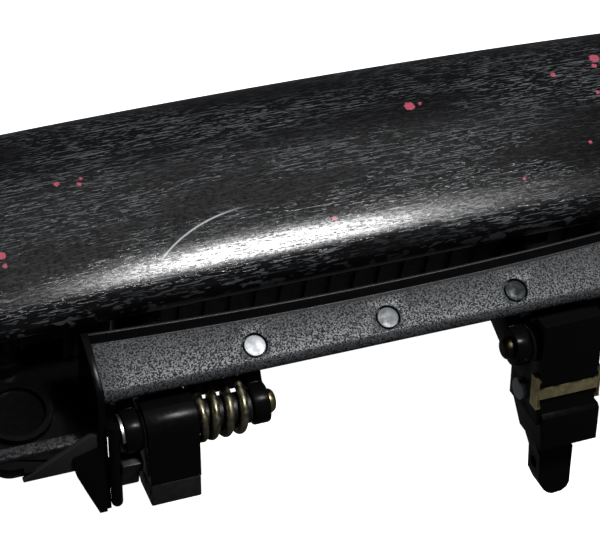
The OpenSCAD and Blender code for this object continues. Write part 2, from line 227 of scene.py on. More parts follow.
@dataclass(frozen=True)
class Speck:
    """A stray drop of pink paint on the paddle, at (x, y, z) mm round the pins."""

    x: float
    y: float
    z: float
    radius: float


class MaterialShop:
    """Makes every procedural material of the handle once."""

    GRAIN = Finish(
        "grained plastic", (0.064, 0.068, 0.074), 0.42, grain=0.06, grain_scale=2600.0, mottle=0.12,
        specular=0.28, second=(0.003, 0.003, 0.0035), speckled=True,
    )
    COARSE = Finish(
        "coarse black plastic", (0.030, 0.031, 0.034), 0.55, grain=0.06, grain_scale=1500.0, mottle=0.12,
        specular=0.3, second=(0.003, 0.003, 0.003), speckled=True,
    )
    GLOSS = Finish("gloss black plastic", (0.003, 0.003, 0.0033), 0.24, mottle=0.2, specular=0.06)
    DULL = Finish("dull black plastic", (0.016, 0.016, 0.017), 0.5, mottle=0.1, specular=0.2)
    SHELL = Finish("scratched black shell", (0.0035, 0.0035, 0.004), 0.28, specular=0.5)
    SATIN = Finish(
        "satin black plastic", (0.006, 0.006, 0.0065), 0.45, grain=0.02, grain_scale=1500.0, specular=0.3
    )
    # One plug metal in three tones, light at the left to dark at the right: painted reflection and painted
    # shade.
    PAINTED_SHEEN_PLUGS = (
        Finish("plug metal painted bright sheen", (0.27, 0.28, 0.29), 0.52, metal=1.0, mottle=0.12),
        Finish("plug metal painted half sheen", (0.105, 0.11, 0.115), 0.52, metal=1.0, mottle=0.15),
        Finish("plug metal painted shade", (0.022, 0.025, 0.026), 0.52, metal=1.0, mottle=0.3),
    )
    PIN = Finish(
        "olive passivated steel", (0.30, 0.25, 0.12), 0.36, metal=1.0, mottle=0.3, second=(0.16, 0.15, 0.10)
    )
    # The left pin's steel made darker for the right pin: painted shade.
    PAINTED_SHADE_PIN = Finish("pin steel painted shade", (0.05, 0.04, 0.025), 0.36, metal=1.0, mottle=0.3)
    SPRING = Finish(
        "dull spring wire", (0.23, 0.21, 0.14), 0.42, metal=1.0, mottle=0.35, second=(0.10, 0.09, 0.06)
    )
    STEEL = Finish("zinc plated steel", (0.45, 0.46, 0.48), 0.38, metal=1.0, mottle=0.15)
    SLUG = Finish("dark cast weight", (0.012, 0.012, 0.012), 0.5, mottle=0.3, grain=0.03, specular=0.3)
    CLIP = Finish(
        "brass coloured strap", (0.90, 0.77, 0.42), 0.36, metal=1.0, mottle=0.25, second=(0.52, 0.43, 0.21)
    )
    BUSH = Finish("grey bearing plastic", (0.09, 0.09, 0.085), 0.5)
    RUBBER = Finish("black rubber", (0.012, 0.012, 0.012), 0.75, specular=0.3)
    SPECKS = (
        Speck(23.5, 59.0, 24.8, 1.1), Speck(26.4, 59.4, 24.8, 0.4), Speck(64.0, 61.6, 23.9, 0.6),
        Speck(-66.5, 55.2, 24.0, 0.5), Speck(-60.5, 55.5, 24.2, 0.35), Speck(-61.4, 54.0, 24.2, 0.45),
        Speck(77.5, 65.4, 23.0, 1.2), Speck(76.2, 62.6, 23.2, 0.6), Speck(73.0, 53.6, 23.7, 0.5),
        Speck(64.5, 38.9, 22.9, 0.45), Speck(44.0, 32.5, 22.0, 0.35), Speck(-5.5, 31.5, 22.1, 0.5),
        Speck(-83.5, 38.8, 22.2, 0.9), Speck(-83.2, 36.2, 21.8, 0.5),
    )
    PINK = (0.42, 0.08, 0.12)
    SPECK_GROWTH = 1.15
    SPECK_EDGE = 0.0005
    # Sets of short scratches: turn in degrees, stretch along them, share of the noise left bare.
    SCRATCHES = (
        (2.0, 170, 0.63), (8.0, 260, 0.645), (-20.0, 280, 0.67), (35.0, 300, 0.68), (80.0, 320, 0.66),
        (-66.0, 320, 0.69),
    )
    WORN = (0.0045, 0.0048, 0.0055)
    SCRATCHED = (0.088, 0.092, 0.100)
    GOUGED = (0.42, 0.43, 0.44)
    # The one long curved scratch: a point in mm round the pins, and its radius in metres.
    GOUGE_CENTRE = Vector((-23.8, 0.0, 22.3))
    GOUGE_RADIUS = 0.0388

    def __init__(self) -> None:
        """Starts with no material made."""
        self.made: dict = {}

    def get(self, finish: Finish) -> bpy.types.Material:
        """The material of a finish, made the first time it is asked for."""
        if finish.name not in self.made:
            build = self._shell if finish is self.SHELL else self._plain
            self.made[finish.name] = build(NodeSheet(finish))
        return self.made[finish.name]

    def _plain(self, sheet: NodeSheet) -> bpy.types.Material:
        """A surface with slow changes of colour and shine and fine bumps."""
        finish = sheet.finish
        slow = sheet.noise(sheet.coords, 90.0, 4.0)
        other = finish.second or tuple(c * (1.0 - finish.mottle) for c in finish.base)
        if finish.speckled:
            share = sheet.ramp(sheet.noise(sheet.coords, finish.grain_scale * 0.9, 2.0, 0.7), 0.42, 0.58)
            rough = sheet.ramp(share, 0.0, 1.0, finish.rough - 0.08, finish.rough + 0.3)
        else:
            share = sheet.ramp(slow, 0.38, 0.62)
            spread = finish.mottle * finish.rough
            fine = sheet.noise(sheet.coords, 700.0, 2.0)
            rough = sheet.ramp(fine, 0.3, 0.7, finish.rough - spread, finish.rough + spread)
        sheet.colour(sheet.blend(share, finish.base, other))
        sheet.roughness(rough)
        if finish.grain:
            cells = sheet.noise(sheet.coords, finish.grain_scale, 2.0, 0.6)
            sheet.bump(cells, finish.grain * MM, 0.8)
        else:
            sheet.bump(slow, 0.02 * MM, 0.25)
        return sheet.material

    def _shell(self, sheet: NodeSheet) -> bpy.types.Material:
        """Old black plastic: haze, lengthwise rubs, crossed scratches and specks."""
        finish = sheet.finish
        haze = sheet.noise(sheet.stretched((6, 22, 22)), 3.2, 5.0, 0.6)
        patch = sheet.ramp(sheet.noise(sheet.stretched((14, 40, 40)), 1.6, 3.0, 0.6), 0.38, 0.60)
        rubs = sheet.noise(sheet.stretched((160, 2300, 2300), 3.0), 1.0, 4.0, 0.7)
        pits = sheet.ramp(sheet.noise(sheet.stretched((900, 1900, 1900)), 1.0, 3.0, 0.7), 0.40, 0.56)
        marks = None
        for turn, length, density in self.SCRATCHES:
            line = sheet.noise(sheet.stretched((length, 3400, 160), turn), 1.0, 1.0, 0.5)
            cut = sheet.ramp(line, density, density + 0.05)
            marks = cut if marks is None else sheet.math("MAXIMUM", marks, cut)
        long_line = sheet.noise(sheet.stretched((22, 2600, 30), 2.0), 1.0, 1.0, 0.5)
        marks = sheet.math("MAXIMUM", marks, sheet.ramp(long_line, 0.68, 0.72))
        marks = sheet.math("MULTIPLY", marks, sheet.math("ADD", sheet.math("MULTIPLY", patch, 0.85), 0.15))
        rubbed = sheet.ramp(rubs, 0.42, 0.66)
        worn = sheet.math("MULTIPLY", rubbed, sheet.math("MAXIMUM", patch, 0.35), True)
        tint = sheet.blend(worn, finish.base, self.WORN)
        tint = sheet.blend(marks, tint, self.SCRATCHED)
        tint = sheet.blend(self._gouge(sheet), tint, self.GOUGED)
        sheet.colour(self._paint(sheet, tint))
        gloss = sheet.ramp(haze, 0.3, 0.7, 0.155, 0.215)
        gloss = sheet.math("ADD", gloss, sheet.math("MULTIPLY", worn, 0.05))
        sheet.roughness(sheet.math("ADD", gloss, sheet.math("MULTIPLY", marks, 0.08), True))
        sheet.put(sheet.ramp(pits, 0.0, 1.0, 0.24, 0.56), sheet.shader.inputs["Specular IOR Level"])
        sheet.bump(rubs, 0.012 * MM, 0.6)
        sheet.bump(sheet.math("MULTIPLY", marks, -1.0), 0.03 * MM, 0.7)
        return sheet.material

    def _gouge(self, sheet: NodeSheet):
        """One long curved scratch: a thin band at a set distance from a far point."""
        away = sheet.distance((self.GOUGE_CENTRE + PIN_AXIS) * MM)
        offset = sheet.math("ABSOLUTE", sheet.math("SUBTRACT", away, self.GOUGE_RADIUS))
        band = sheet.ramp(offset, 0.00008, 0.0003, 1.0, 0.0)
        split = sheet.node("SeparateXYZ", Vector=sheet.coords)
        left = sheet.ramp(split.outputs[0], -0.049, -0.047)
        right = sheet.ramp(split.outputs[0], -0.034, -0.024, 1.0, 0.0)
        front = sheet.ramp(split.outputs[1], 0.012, 0.014)
        ends = sheet.math("MULTIPLY", left, right)
        return sheet.math("MULTIPLY", sheet.math("MULTIPLY", band, front), ends)

    def _paint(self, sheet: NodeSheet, tint):
        """Adds the stray pink specks to a colour."""
        wobble = sheet.noise(sheet.coords, 1400.0, 1.0)
        for speck in self.SPECKS:
            place = (Vector((speck.x, speck.y, speck.z)) + PIN_AXIS) * MM
            reach = sheet.math("ADD", sheet.distance(place), sheet.math("MULTIPLY", wobble, 0.0009))
            edge = speck.radius * MM * self.SPECK_GROWTH + self.SPECK_EDGE
            share = sheet.ramp(reach, edge - 0.00015, edge + 0.0001, 1.0, 0.0)
            tint = sheet.blend(share, tint, self.PINK)
        return tint


# ---- modelling


def arc(radius: float, start: float, end: float, steps: int, centre: Point2 = (0.0, 0.0)) -> List[Point2]:
    """Points on a circle, from one angle in degrees to another: one more than its steps."""
    turns = [math.radians(start + (end - start) * i / steps) for i in range(steps + 1)]
    return [(centre[0] + radius * math.cos(t), centre[1] + radius * math.sin(t)) for t in turns]


def ribbon(path: Sequence[Point2], thick: float) -> List[Point2]:
    """The closed outline of a strip of even thickness to the left of a path."""
    other = []
    for i, here in enumerate(path):
        before, after = path[max(i - 1, 0)], path[min(i + 1, len(path) - 1)]
        dx, dy = after[0] - before[0], after[1] - before[1]
        size = math.hypot(dx, dy)
        other.append((here[0] - dy / size * thick, here[1] + dx / size * thick))
    return list(path) + other[::-1]


def about(point: Vector, spin: Matrix) -> Matrix:
    """The same turn made about a point."""
    return Matrix.Translation(point) @ spin @ Matrix.Translation(-point)


class Part:
    """One mesh piece, worked in edit mode and measured in millimetres."""

    def __init__(self, obj: bpy.types.Object, name: str) -> None:
        """Takes over a new object."""
        self.obj = obj
        obj.name = name
        obj.data.name = name

    # starting shapes

    @classmethod
    def block(cls, name: str, low: Sequence[float], high: Sequence[float]) -> "Part":
        """A box between two corners."""
        cls.clear()
        bpy.ops.mesh.primitive_cube_add(size=1.0)
        part = cls(bpy.context.object, name)
        size = [(b - a) * MM for a, b in zip(low, high)]
        middle = [(a + b) / 2 * MM for a, b in zip(low, high)]
        with part.editing():
            bpy.ops.transform.resize(value=size)
            bpy.ops.transform.translate(value=middle)
        return part

    @classmethod
    def prism(
        cls, name: str, points: Sequence[Point2], start: float, end: float, plane: Plane = Plane.YZ
    ) -> "Part":
        """A closed outline extruded square to its plane, from start to end on that axis."""
        cls.clear()
        bpy.ops.mesh.primitive_circle_add(vertices=len(points), radius=1.0, fill_type="NGON")
        part = cls(bpy.context.object, name)
        with part.editing() as mesh:
            mesh.verts.ensure_lookup_table()
            for vert, (a, b) in zip(mesh.verts, points):
                place = (start, a, b) if plane is Plane.YZ else (a, start, b)
                vert.co = Vector(place) * MM
            bmesh.update_edit_mesh(part.obj.data)
            step = Vector((end - start, 0, 0) if plane is Plane.YZ else (0, end - start, 0)) * MM
            bpy.ops.mesh.extrude_region_move(TRANSFORM_OT_translate={"value": step})
            bpy.ops.mesh.select_all(action="SELECT")
            bpy.ops.mesh.normals_make_consistent(inside=False)
        return part

    @classmethod
    def round_bar(
        cls, name: str, start: Sequence[float], end: Sequence[float], radius: float, sides: int
    ) -> "Part":
        """A cylinder from one point to another."""
        cls.clear()
        first, last = Vector(start) * MM, Vector(end) * MM
        along = last - first
        bpy.ops.mesh.primitive_cylinder_add(
            vertices=sides,
            radius=radius * MM,
            depth=along.length,
            location=(first + last) / 2,
            rotation=along.to_track_quat("Z", "Y").to_euler(),
        )
        part = cls(bpy.context.object, name)
        part.apply()
        return part

    # selecting and moving

    @contextmanager
    def editing(self) -> Iterator[bmesh.types.BMesh]:
        """Edit mode with everything selected, for a with block that gets the edit mesh."""
        self._activate()
        bpy.ops.object.mode_set(mode="EDIT")
        bpy.ops.mesh.select_all(action="SELECT")
        yield bmesh.from_edit_mesh(self.obj.data)
        bmesh.update_edit_mesh(self.obj.data)
        bpy.ops.object.mode_set(mode="OBJECT")

    def pick(self, mesh: bmesh.types.BMesh, kind: str, test: Test) -> None:
        """Selects the edges or faces (kind) whose middle passes a test in millimetres."""
        bpy.ops.mesh.select_all(action="DESELECT")
        bpy.ops.mesh.select_mode(type=kind)
        for thing in mesh.edges if kind == "EDGE" else mesh.faces:
            middle = sum((v.co for v in thing.verts), Vector()) / len(thing.verts)
            if test(middle / MM):
                thing.select_set(True)
        mesh.select_flush_mode()
        bmesh.update_edit_mesh(self.obj.data)

    def slice(self, axis: int, places: Iterable[float]) -> "Part":
        """Cuts every face that crosses the given planes square to an axis."""
        for place in places:
            with self.editing():
                point, normal = [0.0] * 3, [0.0] * 3
                point[axis], normal[axis] = place * MM, 1.0
                bpy.ops.mesh.bisect(plane_co=point, plane_no=normal)
        return self

    def reshape(self, move: Callable[[Vector], Vector]) -> "Part":
        """Moves every vertex to where a function in millimetres puts it."""
        with self.editing() as mesh:
            for vert in mesh.verts:
                vert.co = move(vert.co / MM) * MM
        return self

    def round_edges(self, width: float, segments: int, test: Test) -> "Part":
        """Bevels the edges whose middle passes a test."""
        with self.editing() as mesh:
            self.pick(mesh, "EDGE", test)
            bpy.ops.mesh.bevel(offset=width * MM, segments=segments, profile=0.5, clamp_overlap=True)
        return self

    def delete_faces(self, test: Test) -> "Part":
        """Deletes the faces whose middle passes a test."""
        with self.editing() as mesh:
            self.pick(mesh, "FACE", test)
            bpy.ops.mesh.delete(type="FACE")
        return self

    # modifiers

    def modify(self, kind: str, **settings) -> "Part":
        """Adds a modifier and applies it."""
        self._activate()
        modifier = self.obj.modifiers.new(kind.lower(), kind)
        for name, value in settings.items():
            setattr(modifier, name, value)
        bpy.ops.object.modifier_apply(modifier=modifier.name)
        return self

    def soften(self, width: float, segments: int = 2, angle: float = 32.0) -> "Part":
        """Rounds every sharp edge a little."""
        return self.modify(
            "BEVEL",
            width=width * MM,
            segments=segments,
            limit_method="ANGLE",
            angle_limit=math.radians(angle),
            use_clamp_overlap=True,
            miter_outer="MITER_ARC",
        )

    def cut(self, *tools: "Part") -> "Part":
        """Takes other parts away from this one and deletes them."""
        for tool in tools:
            self.modify("BOOLEAN", operation="DIFFERENCE", object=tool.obj, solver="EXACT")
            bpy.data.objects.remove(tool.obj, do_unlink=True)
        return self

    def weld(self, *others: "Part") -> "Part":
        """Unites other parts with this one and deletes them."""
        for other in others:
            self.modify("BOOLEAN", operation="UNION", object=other.obj, solver="EXACT")
            bpy.data.objects.remove(other.obj, do_unlink=True)
        return self

    # whole-object moves

    def lean(self) -> "Part":
        """Turns a part drawn straight down to the levers' rest lean."""
        with self.editing() as mesh:
            spin = Matrix.Rotation(-LEVER_LEAN, 4, "X")
            bmesh.ops.transform(mesh, matrix=spin, verts=mesh.verts)
        return self

    def mirrored(self, name: str) -> "Part":
        """A copy with its own mesh on the other side of the middle."""
        self._activate()
        bpy.ops.object.duplicate(linked=False)
        twin = Part(bpy.context.object, name)
        twin.obj.scale = (-1, 1, 1)
        twin.apply()
        with twin.editing():
            bpy.ops.mesh.normals_make_consistent(inside=False)
        return twin

    def finish(
        self, material: bpy.types.Material, body: Body, slot: Slot, node: str, smooth: float
    ) -> None:
        """Args:
            material: its material.
            body: the CAD body it rides on.
            slot: the record's material slot; not used.
            node: the CAD node it stands for.
            smooth: edges flatter than this many degrees are shaded smooth.
        """
        with self.editing():
            bpy.ops.mesh.remove_doubles(threshold=MERGE * MM)
            bpy.ops.mesh.normals_make_consistent(inside=False)
            bpy.ops.transform.translate(value=PIN_AXIS * MM)
        self._activate()
        bpy.ops.object.shade_smooth_by_angle(angle=math.radians(smooth))
        self.obj.data.materials.clear()
        self.obj.data.materials.append(material)
        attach(self.obj, body.value)
        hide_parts(node)

    def apply(self) -> None:
        """Applies the object's place, turn and scale to its mesh."""
        self._activate()
        bpy.ops.object.transform_apply(location=True, rotation=True, scale=True)

    def _activate(self) -> None:
        """Makes this the only selected object."""
        self.clear()
        self.obj.select_set(True)
        bpy.context.view_layer.objects.active = self.obj

    @staticmethod
    def clear() -> None:
        """Deselects every object."""
        bpy.ops.object.select_all(action="DESELECT")


# ---- groups of pieces


class Group:
    """Pieces that share the materials and one set of sizes."""

    SIZE: type

    def __init__(self, shop: MaterialShop) -> None:
        """Keeps the materials and makes the sizes."""
        self.shop = shop
        self.size = self.SIZE()

    def done(
        self, part: Part, finish: Finish, body: Body, slot: Slot, node: str, smooth: float = 35.0
    ) -> None:
        """Finishes a part that stands for a CAD node."""
        part.finish(self.shop.get(finish), body, slot, node, smooth)

    def fixed(self, part: Part, finish: Finish) -> None:
        """Finishes a part of the base's housing."""
        self.done(part, finish, Body.BASE, Slot.HOUSING, "base_housing")

    def make(self) -> None:
        """Makes the pieces."""
        raise NotImplementedError

    def build(self) -> None:
        """Makes the pieces and logs it."""
        self.make()
        LOG.info("%s done", type(self).__name__)


# ---- paddle


@dataclass
class PaddleSize:
    """The shell: its limits, its outline from near to far, and how its ends fall."""

    half: float = 110.0
    wall: float = 2.2
    lip: float = 10.8
    floor: float = 12.0
    crest: float = 25.1
    box_top: float = 24.0
    corner: float = 12.0
    bow: float = 3400.0
    skin: Tuple[Point2, ...] = (
        (22.8, 14.2), (23.2, 15.9), (23.9, 17.5), (25.3, 19.15), (28.5, 20.7), (31.6, 22.0), (34.8, 22.95),
        (39.0, 23.8), (44.0, 24.45), (50.0, 25.0), (56.0, 25.1), (62.0, 24.9), (67.0, 24.4),
        (71.5, 23.5), (75.0, 22.3), (77.7, 20.6), (79.4, 18.6), (80.5, 15.6),
    )
    end_fall: Tuple[Point2, ...] = (
        (0.0, 0.0), (40.0, 0.4), (70.0, 1.2), (90.0, 2.1), (98.0, 2.8), (103.0, 3.8), (106.5, 5.3),
        (109.0, 7.8), (110.0, 10.0),
    )


class Paddle(Group):
    """The shell that is pulled, drawn as a box cut into loops and shaped."""

    SIZE = PaddleSize

    @staticmethod
    def _along(table: Sequence[Point2], place: float) -> float:
        """The value of a table of points at a place, between its neighbours."""
        for (a, va), (b, vb) in zip(table, table[1:]):
            if place <= b:
                return va + (vb - va) * max(0.0, place - a) / (b - a)
        return table[-1][1]

    def _shape(self, p: Vector) -> Vector:
        """Where a vertex of the sliced box belongs on the shell."""
        size = self.size
        near, far = size.skin[0][0], size.skin[-1][0]
        x, y, z = p
        if z > size.lip + NEAR:
            rise = size.crest - size.floor
            keep = (rise - self._along(size.end_fall, abs(x))) / rise
            z = size.floor + (self._along(size.skin, y) - size.floor) * keep
        u = (abs(x) - (size.half - size.corner)) / size.corner
        middle = (near + far) / 2
        v = (abs(y - middle) - (far - middle - size.corner)) / size.corner
        if u > 0 and v > 0:
            u, v = u * math.sqrt(1 - v * v / 2), v * math.sqrt(1 - u * u / 2)
            x = math.copysign(size.half - size.corner + u * size.corner, x)
            y = middle + math.copysign(far - middle - size.corner + v * size.corner, y - middle)
        share = (y - near) / (far - near)
        y -= share * x * x / (2 * size.bow)
        return Vector((x, y, z))

    def make(self) -> None:
        """Makes the shell."""
        size = self.size
        near, far = size.skin[0][0], size.skin[-1][0]
        low, high = (-size.half, near, size.lip), (size.half, far, size.box_top)
        shell = Part.block("paddle_outer_shell", low, high)
        shell.delete_faces(lambda p: p.z < size.lip + NEAR)
        ends = [x for x, _ in size.end_fall[1:-1]]
        shell.slice(0, [0.0, *ends, *(-x for x in ends)])
        shell.slice(1, [y for y, _ in size.skin[1:-1]])
        shell.reshape(self._shape)
        shell.modify("SOLIDIFY", thickness=size.wall * MM, offset=-1.0, use_even_offset=False)
        shell.modify("SUBSURF", levels=2, render_levels=2)
        self.done(shell, self.shop.SHELL, Body.PADDLE, Slot.SHELL, "paddle_shell", 60.0)


# ---- housing


@dataclass
class StripSize:
    """The grained strip and what is behind it; a bar is its radius and two ends."""

    half: float = 69.0
    under: float = 8.2
    far: float = 12.0
    slope: float = math.radians(17.0)
    roll: float = 2.18
    roll_y: float = 4.44
    roll_arc: Span = (107.0, 270.0)
    bow: float = 1000.0
    bow_start: float = 6.0
    columns: int = 24
    rear_start: float = 11.0
    rib: Bar = (15.0, 15.8, 15.2)
    groove: float = 11.8
    plug_pitch: float = 32.6
    plug_y: float = 6.8
    plug: Bar = (2.6, -1.2, -0.12)
    seat: Bar = (2.95, -1.3, 3.0)

    def face(self, y: float) -> float:
        """Height of the strip's face at y."""
        start = self.under + self.roll + self.roll * math.cos(self.slope)
        return start + (y - self.roll_y + self.roll * math.sin(self.slope)) * math.tan(self.slope)

    def bowed(self, x: float) -> float:
        """How far the far edge is moved out at x."""
        return x * x / (2 * self.bow)


class BezelStrip(Group):
    """The strip with its three plugs, the groove and the thin rib."""

    SIZE = StripSize

    def _length(self, name: str, outline: Sequence[Point2]) -> Part:
        """An outline run along the strip and cut into columns that can bow."""
        size = self.size
        part = Part.prism(name, outline, -size.half, size.half)
        return part.slice(0, [size.half * (2 * i / size.columns - 1) for i in range(1, size.columns)])

    def _square_bar(self, name: str, place: int, bar: Bar, sides: int) -> Part:
        """A cylinder square to the strip's face at one of the three plug places."""
        size = self.size
        radius, low, high = bar
        normal = Vector((0, -math.sin(size.slope), math.cos(size.slope)))
        middle = Vector((place * size.plug_pitch, size.plug_y, size.face(size.plug_y)))
        return Part.round_bar(name, middle + normal * low, middle + normal * high, radius, sides)

    def _strip(self) -> None:
        """The strip: a sloped face, a round near edge and a bowed far one."""
        size = self.size
        nose = arc(size.roll, *size.roll_arc, 10, (size.roll_y, size.under + size.roll))
        outline = [(size.far, size.under), (size.far, size.face(size.far)), *nose]
        strip = self._length("bezel_strip", outline)

        def bow(p: Vector) -> Vector:
            """Moves the far edge out towards the ends, along the face."""
            share = max(0.0, (p.y - size.bow_start) / (size.far - size.bow_start))
            out = share * size.bowed(p.x)
            rise = out * math.tan(size.slope) if p.z > size.under + NEAR else 0.0
            return Vector((p.x, p.y + out, p.z + rise))

        strip.reshape(bow)
        for place in PLUG_PLACES:
            strip.cut(self._square_bar("seat", place, size.seat, 48))
        self.fixed(strip.soften(0.3, 3, 40.0), self.shop.GRAIN)

    def _rear(self) -> None:
        """The groove floor and the thin rib, as one bowed length."""
        size = self.size
        near, far, top = size.rib
        outline = [
            (size.rear_start, size.under), (far, size.under), (far, top), (near, top),
            (near, size.groove), (size.rear_start, size.groove),
        ]
        rear = self._length("strip_rear_rib", outline)
        rear.reshape(lambda p: Vector((p.x, p.y + size.bowed(p.x), p.z)))
        self.fixed(rear.soften(0.28, 3, 50.0), self.shop.SATIN)

    def _plugs(self) -> None:
        """Three flat metal plugs with a small chamfer, a little under the face, each in a tone of painted
        reflection.
        """
        for i, place in enumerate(PLUG_PLACES):
            plug = self._square_bar(f"strip_plug_{i + 1}", place, self.size.plug, 64)
            # Each plug takes its own tone, lighter to the left: painted reflection and painted shade.
            self.done(plug.soften(0.22, 3, 50.0), self.shop.PAINTED_SHEEN_PLUGS[i], Body.BASE, Slot.PLUG, "strip_plugs")

    def make(self) -> None:
        """Makes the strip, its rear and the plugs."""
        self._strip()
        self._rear()
        self._plugs()


@dataclass
class HousingSize:
    """End plates, ears, webs and feet.

    An ear is its two ends and its radius.  A post on the foot is its y, its two heights,
    its radius and its sides.  Outlines are closed, and a box is its two corners.
    """

    plate_x: Span = (69.0, 70.6)
    plate: Tuple[Point2, ...] = (
        (2.3, 9.6), (2.6, 11.4), (4.0, 12.8), (13.5, 15.6), (18.0, 15.6), (19.0, 6.0), (17.0, -7.8),
        (3.0, -12.0), (-5.4, -20.4), (-7.4, -19.0), (-1.2, 0.0),
    )
    gusset: Tuple[Point2, ...] = (
        (70.0, -2.0), (77.0, -4.0), (76.5, -9.0), (74.6, -14.0), (71.8, -21.0), (70.0, -21.0),
    )
    gusset_y: Span = (-1.0, 1.2)
    rib_at: Point3 = (67.7, -1.6, 2.0)
    rib_lean: float = math.radians(16.5)
    rib_rise: float = 2.9
    rib_length: float = 23.8
    rib_r: float = 1.38
    rib_end: float = -17.5
    inner_ear: Bar = (31.0, 35.0, 4.8)
    outer_ear: Bar = (61.5, 65.5, 5.0)
    ear_arc: Span = (48.0, 290.0)
    ear_top: Tuple[Point2, ...] = ((14.5, 9.0), (8.6, 9.0))
    ear_low: Point2 = (14.0, -3.0)
    steps: Tuple[Box, ...] = (
        ((61.5, -6.0, -8.5), (66.6, 1.0, -5.0)),
        ((61.6, -4.2, -16.0), (69.2, -2.2, -5.1)),
        ((61.5, 4.7, -8.0), (69.2, 6.7, 9.0)),
    )
    web: Box = ((-29.0, 11.5, -2.0), (29.0, 13.5, 12.6))
    spring_wall: Box = ((-48.2, 6.6, -2.0), (-34.4, 8.6, 8.6))
    passage: Box = ((-38.6, 6.0, 3.6), (-35.6, 9.0, 8.1))
    spacer_wall: Box = ((52.4, 6.6, -2.0), (61.6, 8.6, 8.6))
    foot: Box = ((74.0, 0.0, -8.0), (95.0, 36.0, -5.5))
    roots: Tuple[Box, ...] = (
        ((69.8, 0.0, -8.0), (81.8, 18.0, -5.5)),
        ((61.5, 4.7, -7.99), (85.5, 35.98, -5.51)),
        ((70.0, -1.6, -7.98), (88.0, 1.0, -5.52)),
    )
    stud_x: float = 86.0
    bosses: Tuple[Post, ...] = ((14.0, -6.5, -3.5, 8.15, 48), (30.0, -6.5, -1.0, 5.45, 40))
    sockets: Tuple[Post, ...] = ((14.0, -4.9, 5.0, 6.6, 40), (30.0, -2.0, 5.0, 4.05, 32))
    slope: Tuple[Point2, ...] = ((70.0, 1.2), (73.0, 0.8), (88.6, -7.2), (88.6, -7.9), (70.0, -7.9))
    slope_y: Span = (-0.2, 1.2)
    band: Box = ((70.0, 2.4, -6.5), (93.0, 5.4, -4.3))


class Housing(Group):
    """The fixed plates that carry the hinge pins and stand on the door."""

    SIZE = HousingSize

    def _pair(self, part: Part, finish: Finish) -> None:
        """Finishes a part of the +X side and its twin on the other side."""
        name = part.obj.name
        twin = part.mirrored(f"{name}_left")
        part.obj.name = f"{name}_right"
        for piece in (twin, part):
            self.fixed(piece, finish)

    def _end_plate(self) -> None:
        """The thin plate with its near rib and the pointed gusset outside it."""
        size = self.size
        plate = Part.prism("end_plate", size.plate, *size.plate_x)
        along = Vector((0.0, -math.sin(size.rib_lean), -math.cos(size.rib_lean)))
        top = Vector(size.rib_at) - along * size.rib_rise
        rib = Part.round_bar("rib", top, top + along * size.rib_length, size.rib_r, 24)
        rib.round_edges(1.3, 4, lambda p: p.z < size.rib_end)
        gusset = Part.prism("gusset", size.gusset, *size.gusset_y, Plane.XZ).lean()
        plate.weld(rib, gusset)
        self._pair(plate.soften(0.3, 2, 40.0), self.shop.GLOSS)

    def _ear(self, name: str, ear: Bar) -> None:
        """A collar round the pin with a plate up to the strip."""
        size = self.size
        x0, x1, radius = ear
        outline = [*size.ear_top, *arc(radius, *size.ear_arc, 28), size.ear_low]
        part = Part.prism(name, outline, x0, x1)
        self._pair(part.soften(0.45, 3, 40.0), self.shop.GLOSS)

    def _inner_walls(self) -> None:
        """The step and wall inside each end plate, and the webs behind the strip."""
        size = self.size
        step, *walls = [Part.block("inner_step", *box) for box in size.steps]
        step.weld(*walls)
        self._pair(step.soften(0.4, 2, 40.0), self.shop.SATIN)
        web = Part.block("rear_web", *size.web)
        self.fixed(web.soften(0.3, 2, 40.0), self.shop.SATIN)
        behind = Part.block("spring_wall", *size.spring_wall)
        behind.cut(Part.block("passage", *size.passage))
        self.fixed(behind, self.shop.GLOSS)
        self.fixed(Part.block("spacer_wall", *size.spacer_wall), self.shop.GLOSS)

    def _posts(self, posts: Sequence[Post]) -> List[Part]:
        """Cylinders square to the foot, in line with the stud."""
        x = self.size.stud_x
        return [
            Part.round_bar("post", (x, y, low), (x, y, high), radius, sides)
            for y, low, high, radius, sides in posts
        ]

    def _foot(self) -> None:
        """The foot beyond the strip's end, with a boss over the hidden stud."""
        size = self.size
        foot = Part.block("foot", *size.foot)
        middle = (size.foot[0][2] + size.foot[1][2]) / 2
        foot.round_edges(5.0, 6, lambda p: abs(p.z - middle) < NEAR)
        foot.weld(*(Part.block("root", *box) for box in size.roots), *self._posts(size.bosses))
        foot.cut(*self._posts(size.sockets))
        self._pair(foot.soften(0.4, 3, 30.0), self.shop.GLOSS)
        wall = Part.prism("foot_slope", size.slope, *size.slope_y, Plane.XZ).lean()
        self._pair(wall.soften(0.2, 2, 30.0), self.shop.DULL)
        band = Part.block("foot_band", *size.band)
        self._pair(band.soften(0.35, 3, 30.0), self.shop.COARSE)

    def make(self) -> None:
        """Makes every fixed plate."""
        self._end_plate()
        self._ear("inner_ear", self.size.inner_ear)
        self._ear("outer_ear", self.size.outer_ear)
        self._inner_walls()
        self._foot()


# ---- hinge pins and spring


@dataclass
class HingeSize:
    """Hinge pins and the return spring, whose lower leg is given from the coil's end."""

    pin_r: float = 2.88
    pin_x: Span = (28.9, 66.3)
    dome: float = 1.5
    wire: float = 1.0
    wire_sides: int = 14
    coil: float = 4.95
    pitch: float = 3.36
    sag: float = -0.4
    first_x: float = -37.1
    turns: float = 3.0
    last_turn: float = 125.0
    steps: int = 176
    upper_leg: Tuple[Point2, ...] = ((12.6, 6.6), (8.0, 5.75), (3.0, 4.6))
    lower_leg: Tuple[Point3, ...] = (
        (0.0, -1.2, -7.8), (-0.1, -0.2, -9.1), (-0.6, 0.0, -9.5), (-1.6, 0.0, -9.5), (-4.2, 0.0, -9.5),
    )


